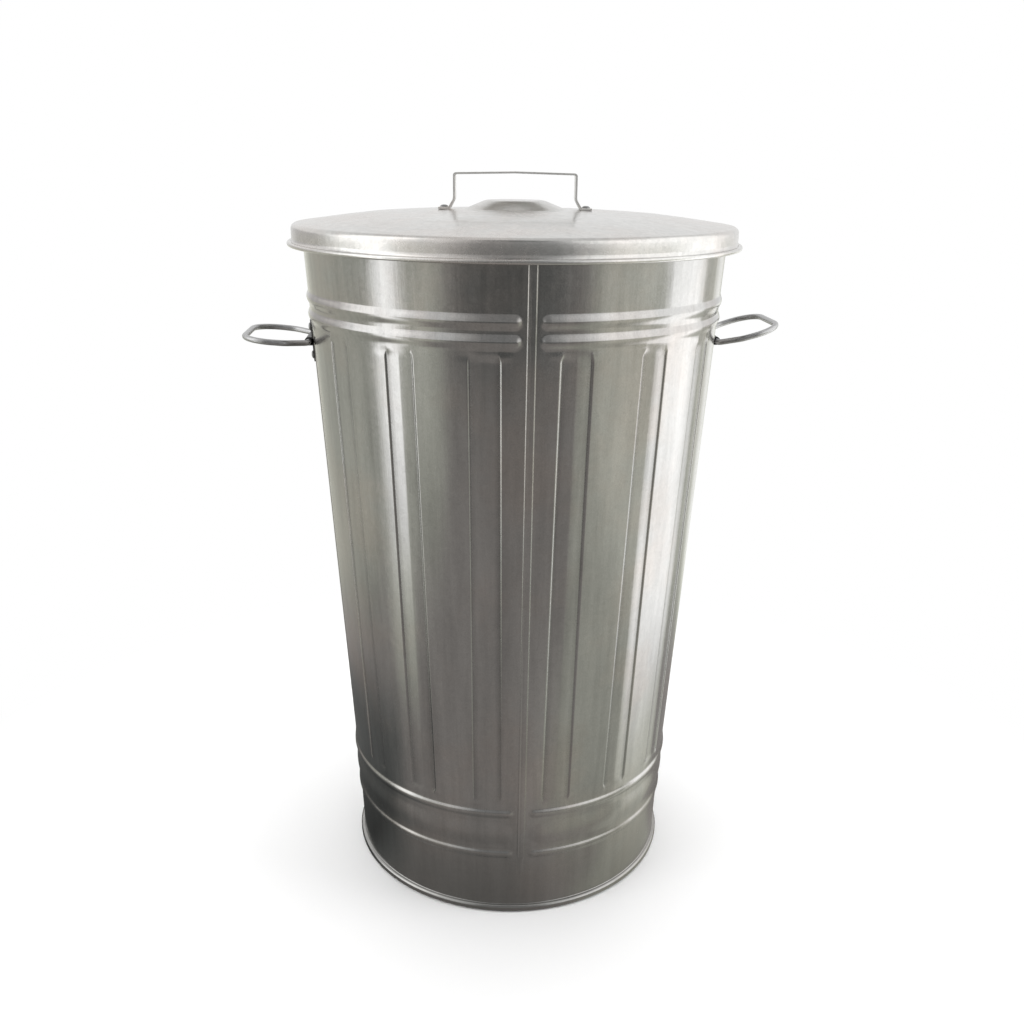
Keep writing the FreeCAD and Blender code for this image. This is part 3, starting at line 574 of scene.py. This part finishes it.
def makeBarrel():
    t = barrel["sheet"]
    top = barrel["rimHeight"]
    curl = barrel["curlRadius"]
    inner = wallRadius(top - curl) - t
    outer = inner + 2 * curl
    tail = inner + curl - barrel["curlTail"]
    low = barrel["curlFoot"]
    under = top - 2 * curl
    rim = roundedCorners([
        (wallRadius(low), low, 0), (inner + t, top - t, curl - t), (outer - t, top - t, curl - t),
        (outer - t, under + t, curl - t), (tail, under + t, 0), (tail, under, 0), (outer, under, curl),
        (outer, top, curl), (inner, top, curl), (wallRadius(low) - t, low, 0)], closed=False, turn=30)
    wall = wallRadius(0)
    rollTop = barrel["rollHeight"]
    out = wall + barrel["rollReach"]
    bend = barrel["rollBend"]
    into = out - rollTop
    high = rollTop * 2
    foot = roundedCorners([
        (wall - t, high, 0), (wall - t, rollTop - t, 2 * t), (out - t, rollTop - t, bend - t),
        (out - t, t, bend - t), (into + t, t, bend - t), (into + t, rollTop / 2, 0), (into, rollTop / 2, 0),
        (into, 0, bend), (out, 0, bend), (out, rollTop, bend), (wall, rollTop, t), (wall, high, 0)],
        closed=False, turn=30)
    upwards = heights(high, low, barrel["rowGap"], barrel["rows"])
    downwards = reversed(heights(high, low, barrel["innerRowGap"], barrel["innerRows"]))
    rows = [(wallRadius(z), z, "outside") for z in upwards]
    rows += [(p.x, p.y, "edge") for p in rim[1:-1]]
    rows += [(wallRadius(z) - t, z, "inside") for z in downwards]
    rows += [(p.x, p.y, "edge") for p in foot[1:-1]]
    columns = barrelColumns()
    crease = flutes["width"] / 2 - flutes["step"]
    points = []
    marks = {"crease": [], "inner": []}
    for radius, z, side in rows:
        for kind, number, value in columns:
            angle = stationAngle(kind, number, value, wallRadius(max(z, 0.0)), z)
            offset = 0.0
            shadedCrease = 0.0
            if side != "edge":
                offset = offsetAt(kind, number, value, angle, wallRadius(z), z, side == "outside")
                # marks the flutes' creases for the painted shade along them
                if kind == "flute" and fluteShare(z) > 0:
                    shadedCrease = math.exp(-((abs(value) - crease) / flutes["creaseShadeWidth"]) ** 2) * fluteShare(z)
            points.append(((radius + offset) * math.cos(angle), (radius + offset) * math.sin(angle), z))
            marks["crease"].append(shadedCrease)
            marks["inner"].append(1.0 if side == "inside" else 0.0)
    faces = wovenFaces(len(rows), len(columns), True, True)
    return piece("flutedBarrel", points, faces, "can", "can_sheet", ["can_wall"], marks)


barrelPiece = makeBarrel()
print("barrel made:", len(barrelPiece.data.polygons), "faces")


# the lid, drawn from the plane of the rim's top

lid = {
    "rest": 689.3,
    "sheet": 0.8,
    "skirtRadius": 220.464,
    "skirtDepth": 20.0,
    "corner": 5.0,
    "hemReach": 4.5,
    "hemHeight": 4.2,
    "hemBend": 1.9,
    "edgeSlope": 0.14,
    "seatGap": 0.45,
    "rimCentreRadius": 213.417,
    "middleRadius": 150.0,
    "middleSlope": 0.044,
    "topRadius": 62.0,
    "domeFoot": 51.0,
    "domeShoulder": 29.0,
    "domeRise": 8.8,
    "crestRise": 0.7,
    "domeBend": 16.0,
    "domeFootBend": 9.0,
    "topBend": 300.0,
    "middleBend": 600.0,
    "hemShadow": 0.9,           # depth of the groove over the hem
    "hemStep": 0.35,
    "waviness": 0.35,
    "slowWave": 70.0,
    "quickWave": 28.0,
    "quickShare": 0.4,
    "shake": 0.12,              # how far the skirt is out of round
    "columns": 420,
    "rowSpan": 6.0,
}
lidEdge = lid["seatGap"] + lid["sheet"] - lid["edgeSlope"] * (lid["skirtRadius"] - lid["rimCentreRadius"])
lidMiddle = lidEdge + lid["edgeSlope"] * (lid["skirtRadius"] - lid["middleRadius"])
lidTop = lidMiddle + lid["middleSlope"] * (lid["middleRadius"] - lid["topRadius"])


def spread(points, span):
    # adds points on the long straight runs
    fuller = []
    for here, there in zip(points, points[1:]):
        count = max(1, math.ceil((there - here).length / span))
        fuller += [here.lerp(there, k / count) for k in range(count)]
    return fuller + points[-1:]


def makeLid():
    t = lid["sheet"]
    skirt = lid["skirtRadius"]
    hem = -lid["skirtDepth"]
    hemTop = hem + lid["hemHeight"]
    outer = skirt + lid["hemReach"]
    dome = lidTop + lid["domeRise"]
    bend = lid["hemBend"]
    tuck = hemTop - lid["hemShadow"]
    inner = skirt + lid["hemStep"]
    outline = roundedCorners([
        (0.01, dome + lid["crestRise"], 0), (lid["domeShoulder"], dome, lid["domeBend"]),
        (lid["domeFoot"], lidTop, lid["domeFootBend"]), (lid["topRadius"], lidTop, lid["topBend"]),
        (lid["middleRadius"], lidMiddle, lid["middleBend"]), (skirt, lidEdge, lid["corner"]),
        (skirt, tuck, 0), (inner, tuck, 0), (inner, hemTop, 0.3), (outer, hemTop, bend),
        (outer, hem, bend), (skirt - t, hem, bend), (skirt - t, lidEdge - t, lid["corner"] - t),
        (lid["middleRadius"], lidMiddle - t, lid["middleBend"]),
        (lid["topRadius"], lidTop - t, lid["topBend"]),
        (lid["domeFoot"], lidTop - t, lid["domeFootBend"] + t),
        (lid["domeShoulder"], dome - t, lid["domeBend"] - t),
        (0.01, dome + lid["crestRise"] - t, 0)], closed=False, turn=7)
    rows = spread(outline, lid["rowSpan"])
    count = lid["columns"]
    points = []
    for p in rows:
        for j in range(count):
            angle = 2 * math.pi * j / count
            x = p.x * math.cos(angle)
            y = p.x * math.sin(angle)
            # the top is slightly wavy, away from its centre and edge
            inward = eased((skirt - 6 - p.x) / 40) * eased(p.x / 60)
            slow = noise.noise(Vector((x / lid["slowWave"], y / lid["slowWave"], 1.7)))
            quick = noise.noise(Vector((x / lid["quickWave"], y / lid["quickWave"], 5.1)))
            lift = lid["waviness"] * (slow + lid["quickShare"] * quick) * inward
            shake = 0.0
            if p.x > skirt - 3:
                # the skirt isn't quite round
                uneven = noise.noise(Vector((angle * 9, p.y / 30, 4.2))) * eased((hemTop + 14 - p.y) / 10)
                shake = lid["shake"] * (uneven - 1)
            wider = 1 + shake / max(p.x, 1)
            points.append((x * wider, y * wider, lid["rest"] + p.y + lift))
    faces = wovenFaces(len(rows), count, False, True)
    return piece("crownedLid", points, [face[::-1] for face in faces], "lid", "lid_sheet", ["lid_shell"])


lidPiece = makeLid()
print("lid made:", len(lidPiece.data.polygons), "faces")


# carried-over nodes take their finish from the record's slots

slots = {
    "rim_wire": "rim_wire",
    "bottom_pan": "pan_sheet",
    "lid_handle": "lid_strip",
    "lid_handle_rivets": "rivet",
    "lid_rivet_washers": "washer",
}
for side in ("left", "right"):
    slots[side + "_handle"] = "loop_wire"
    slots[side + "_bracket"] = "strap"
    slots[side + "_bracket_rivets"] = "rivet"
    slots[side + "_rivet_washers"] = "washer"
for nodeName, slotName in slots.items():
    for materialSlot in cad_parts[nodeName].material_slots:
        materialSlot.material = finishes[slotName]
print("carried-over nodes finished:", len(slots))


# studio

studio = {
    "floorRadius": 9.0,
    "floorShade": 0.88,
    "fadeNear": 0.30,
    "fadeFar": 0.75,
    "dome": 0.72,
    "lamps": [
        # name, azimuth from the camera's line, distance, height above the floor, the lamp's own
        # width and height, power
        ("left", -58.0, 1.9, 1.3, 1.0, 1.0, 11.0),
        ("right", 78.0, 1.9, 1.3, 1.0, 1.0, 13.0),
        ("overhead", 180.0, 0.3, 2.4, 1.8, 1.8, 42.0),
    ],
}

# What bright sheet metal mirrors is not seen by the camera: a glowing grey cloth on the floor with light
# strips laid across it, and a backdrop that is darker behind the camera.
# Each strip runs out in one direction, past the can on the camera's side.
clothStrips = {
    # name: direction from the camera's line, offset, half width and soft edge as shares of the reach,
    # brightness, and the reach at which it starts and is full
    "leftGlow": (-72.0, -0.107, 0.06, 0.15, 1.85, 0.20, 1.8),
    "leftTail": (-48.0, 0.0, 0.08, 0.22, 0.34, 0.55, 1.5),
    "leftFill": (-122.0, 0.0, 0.45, 0.50, 0.30, 0.45, 1.1),
    "leftShade": (-105.0, 0.0, 0.50, 0.45, -0.17, 0.62, 0.38),
    "rightNear": (55.0, 0.0, 0.40, 0.45, 0.14, 0.90, 0.35),
    "rightFill": (70.0, 0.10, 0.20, 0.42, 0.50, 0.10, 1.3),
    "rightGlow": (106.0, 0.132, 0.17, 0.18, 1.65, 0.0, 0.95),
    "rightRear": (127.0, 0.05, 0.20, 0.25, 0.36, 0.35, 1.1),
    "backLeft": (-165.0, 0.0, 0.10, 0.30, 0.50, 0.15, 1.2),
    "backRight": (150.0, 0.0, 0.05, 0.22, 0.90, 0.15, 1.2),
}
cloth = {
    "inner": 0.171,
    "outer": 9.0,
    "shade": 0.31,
    # a painted contact shadow on the glowing cloth round the foot
    "paintedContactShadow": 0.23,            # darker beside the foot
    "contactShadowReach": 0.34,
    "farShade": -0.18,          # darker again in front, towards the camera
    "farStart": 1.3,
    "farFull": 2.8,
    "farHalf": 0.25,
    "farSoft": 0.45,
    "slate": (0.97, 1.0, 0.98, 1.0),
    "brown": (1.06, 1.0, 0.96, 1.0),
    "straw": (0.99, 1.0, 0.89, 1.0),
}
backdrop = {"level": 1.0, "zenith": 0.82}
backdropStrips = {
    # name: direction, half width, soft edge, brightness on top of the level, and the sine of the
    # height up to which it is full and at which it is gone
    "behindCamera": (0.0, 0.28, 0.36, -0.66, 0.90, 0.985),
    "leftGlow": (-80.0, 0.20, 0.30, 1.10, 0.75, 0.95),
    "leftShade": (-128.0, 0.20, 0.35, -0.40, 0.05, 0.24),
    "rightGlow": (86.0, 0.50, 0.35, 0.70, 0.65, 0.95),
}
view = {
    # fitted to the photo's outlines: metres and radians, the azimuth in degrees
    "pictureWidth": 1024.0,
    "focalPixels": 1050.0,
    "sensor": 36.0,
    "distance": 1.088486,
    "height": 0.748398,
    "across": 0.0003365,
    "pitch": 0.32223,
    "roll": 0.010979,
    "azimuth": 4.3,
}


def makeFloor():
    rings = [0.0001, 0.1, 0.2, 0.35, 0.5, 0.8, 1.2, 2.0, 3.5, 6.0, studio["floorRadius"]]
    mesh = disc("studioFloor", rings, -0.0004)
    recipe = finish("paleFloor")
    place = recipe.node("ShaderNodeTexCoord", out=3)
    away = recipe.length(place)
    path = recipe.node("ShaderNodeLightPath")
    seen = path.most(recipe.other(path, 3)).most(recipe.other(path, 6))
    far = away.ranged(studio["fadeNear"], studio["fadeFar"]) * seen
    matt = recipe.node("ShaderNodeBsdfDiffuse", {}, {"Color": tone(studio["floorShade"])})
    white = recipe.node("ShaderNodeEmission", {}, {"Color": tone(1.0), "Strength": 1.0})
    both = recipe.node("ShaderNodeMixShader", {}, {0: far, 1: matt, 2: white})
    recipe.node("ShaderNodeOutputMaterial", {}, {"Surface": both})
    mesh.materials.append(recipe.owner)
    floor = bpy.data.objects.new("studioFloor", mesh)
    scene.collection.objects.link(floor)


def fromCamera(azimuth):
    # a direction given from the camera's line becomes an angle in the part's frame
    return math.radians(azimuth - view["azimuth"] - 90)


def stripShape(recipe, place, reach, azimuth, offset, half, soft):
    # one inside the strip, nothing outside it and on the other side of the can
    turn = fromCamera(azimuth)
    ahead = recipe.dot(place, (math.cos(turn), math.sin(turn), 0.0))
    beside = recipe.dot(place, (-math.sin(turn), math.cos(turn), 0.0)) + offset
    share = (beside / reach).size()
    return share.ranged(half + soft, half) * (ahead / reach).ranged(0.0, 0.2)


def makeCloth():
    mesh = disc("mirroredCloth", [cloth["inner"], 0.3, 0.6, 1.2, 2.5, 5.0, cloth["outer"]], 0.001)
    recipe = finish("glowingGreyCloth")
    place = recipe.node("ShaderNodeTexCoord", out=3)
    reach = recipe.length(place)
    # painted contact shadow round the foot, fading into the plain grey
    level = reach.ranged(cloth["inner"], cloth["contactShadowReach"], cloth["paintedContactShadow"], cloth["shade"])
    front = stripShape(recipe, place, reach, 0.0, 0.0, cloth["farHalf"], cloth["farSoft"])
    level = level + front * reach.ranged(cloth["farStart"], cloth["farFull"]) * cloth["farShade"]
    for azimuth, offset, half, soft, brightness, start, full in clothStrips.values():
        shape = stripShape(recipe, place, reach, azimuth, offset, half, soft)
        level = level + shape * reach.ranged(start, full) * brightness
    cool = recipe.mixed(level.ranged(0.12, 0.28), cloth["slate"], cloth["brown"])
    warm = recipe.mixed(level.ranged(0.32, 0.52), cool, cloth["straw"])
    tint = recipe.mixed(level.ranged(0.8, 1.5), warm, tone(1.0))
    lit = recipe.node("ShaderNodeVectorMath", {"operation": "SCALE"}, {"Vector": tint, "Scale": level})
    glow = recipe.node("ShaderNodeEmission", {}, {"Color": lit, "Strength": 1.0})
    recipe.node("ShaderNodeOutputMaterial", {}, {"Surface": glow})
    mesh.materials.append(recipe.owner)
    spreadCloth = bpy.data.objects.new("mirroredCloth", mesh)
    spreadCloth.visible_camera = False
    spreadCloth.visible_diffuse = False
    spreadCloth.visible_shadow = False
    spreadCloth.visible_transmission = False
    scene.collection.objects.link(spreadCloth)


def aimed(thing, target):
    thing.rotation_euler = (Vector(target) - thing.location).to_track_quat("-Z", "Y").to_euler()


def makeLamp(name, location, target, width, height, power):
    light = bpy.data.lights.new(name, "AREA")
    light.shape = "RECTANGLE"
    light.size = width
    light.size_y = height
    light.energy = power
    lamp = bpy.data.objects.new(name, light)
    lamp.location = location
    scene.collection.objects.link(lamp)
    aimed(lamp, target)
    lamp.visible_camera = False
    lamp.visible_glossy = False


def makeLights():
    for name, azimuth, distance, high, width, height, power in studio["lamps"]:
        turn = fromCamera(azimuth)
        place = (distance * math.cos(turn), distance * math.sin(turn), high)
        makeLamp(name, place, (0, 0, 0.3), width, height, power)


def makeWorld():
    world = bpy.data.worlds.new("studioWorld")
    scene.world = world
    recipe = Recipe(world)
    path = recipe.node("ShaderNodeLightPath")
    mirrored = recipe.other(path, 3)
    seen = path.most(recipe.other(path, 6))
    ray = recipe.node("ShaderNodeTexCoord", out=0)
    up = recipe.node("ShaderNodeSeparateXYZ", {}, {"Vector": ray}, out=2)
    flat = recipe.scaled(ray, (1.0, 1.0, 0.0))
    reach = recipe.length(flat)
    level = up.ranged(0.6, 0.9, backdrop["level"], backdrop["zenith"])
    for azimuth, half, soft, brightness, full, gone in backdropStrips.values():
        shape = stripShape(recipe, flat, reach, azimuth, 0.0, half, soft)
        level = level + shape * up.ranged(gone, full) * brightness
    strength = seen.most(mirrored * level).most(studio["dome"] - mirrored)
    glow = recipe.node("ShaderNodeBackground", {}, {"Color": tone(1.0), "Strength": strength})
    recipe.node("ShaderNodeOutputWorld", {}, {"Surface": glow})


def makeCamera():
    lens = bpy.data.cameras.new("photoCamera")
    lens.sensor_width = view["sensor"]
    lens.lens = view["focalPixels"] * view["sensor"] / view["pictureWidth"]
    lens.clip_end = 50.0
    camera = bpy.data.objects.new("photoCamera", lens)
    turn = math.radians(view["azimuth"])
    right = Vector((math.cos(turn), -math.sin(turn), 0))
    level = Vector((math.sin(turn), math.cos(turn), 0))
    forward = level * math.cos(view["pitch"]) - Vector((0, 0, math.sin(view["pitch"])))
    camera.location = -level * view["distance"] + right * view["across"] + Vector((0, 0, view["height"]))
    look = forward.to_track_quat("-Z", "Y")
    camera.rotation_mode = "QUATERNION"
    camera.rotation_quaternion = look @ Quaternion((0, 0, 1), view["roll"])
    scene.collection.objects.link(camera)
    scene.camera = camera


makeFloor()
makeCloth()
makeLights()
makeWorld()
makeCamera()
scene.view_settings.view_transform = "Standard"
print("studio made:", len(studio["lamps"]), "lamps,", len(clothStrips) + len(backdropStrips), "strips")
